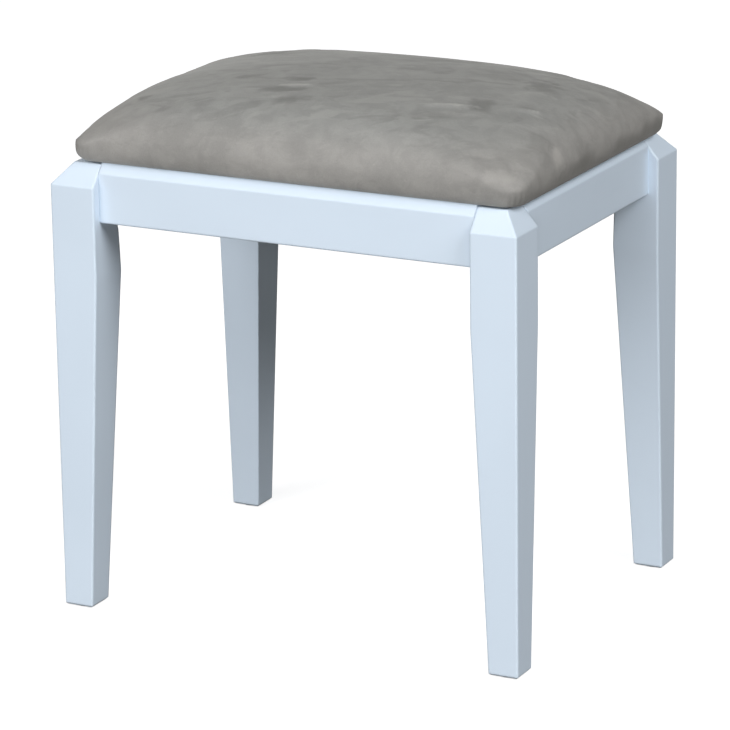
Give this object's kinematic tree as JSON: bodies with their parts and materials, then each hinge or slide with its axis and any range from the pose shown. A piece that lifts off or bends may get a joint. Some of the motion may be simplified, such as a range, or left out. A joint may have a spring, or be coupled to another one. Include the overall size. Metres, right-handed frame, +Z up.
{
  "type": "vanity stool",
  "caption": "Backless stool with a crowned rectangular upholstered seat on a painted wooden frame with straight rails and square tapered legs.",
  "frame": {"origin": "middle of the stool's footprint, on the floor", "axes": "+Z up, -Y towards the front, +X to the right of someone who faces the front"},
  "size_m": [0.44, 0.333, 0.467],
  "materials": {
    "painted_wood": "satin pale blue-white paint",
    "bare_wood": "unfinished",
    "plywood": "unfinished",
    "foam": "open-cell foam",
    "suede": "brushed faux suede",
    "black_nonwoven": "spunbond cloth",
    "zinc_steel": "zinc plated",
    "staple_steel": "galvanised",
    "nylon": "matte"
  },
  "bodies": {
    "root": {"leg_front_left": "painted_wood", "leg_front_right": "painted_wood", "leg_rear_left": "painted_wood", "leg_rear_right": "painted_wood", "rail_front": "painted_wood", "rail_rear": "painted_wood", "rail_left": "painted_wood", "rail_right": "painted_wood", "corner_block_front_left": "bare_wood", "corner_block_front_right": "bare_wood", "corner_block_rear_left": "bare_wood", "corner_block_rear_right": "bare_wood", "glide_front_left": "nylon", "glide_front_right": "nylon", "glide_rear_left": "nylon", "glide_rear_right": "nylon", "rail_dowels": "bare_wood", "block_screws": "zinc_steel", "hanger_bolts": "zinc_steel", "bolt_washers": "zinc_steel", "bolt_nuts": "zinc_steel", "seat_screws": "zinc_steel", "glide_nails": "zinc_steel", "seat_board": "plywood", "seat_foam": "foam", "seat_cover": "suede", "dust_cover": "black_nonwoven", "cover_staples": "staple_steel", "dust_cover_staples": "staple_steel"}
  },
  "joints": []
}
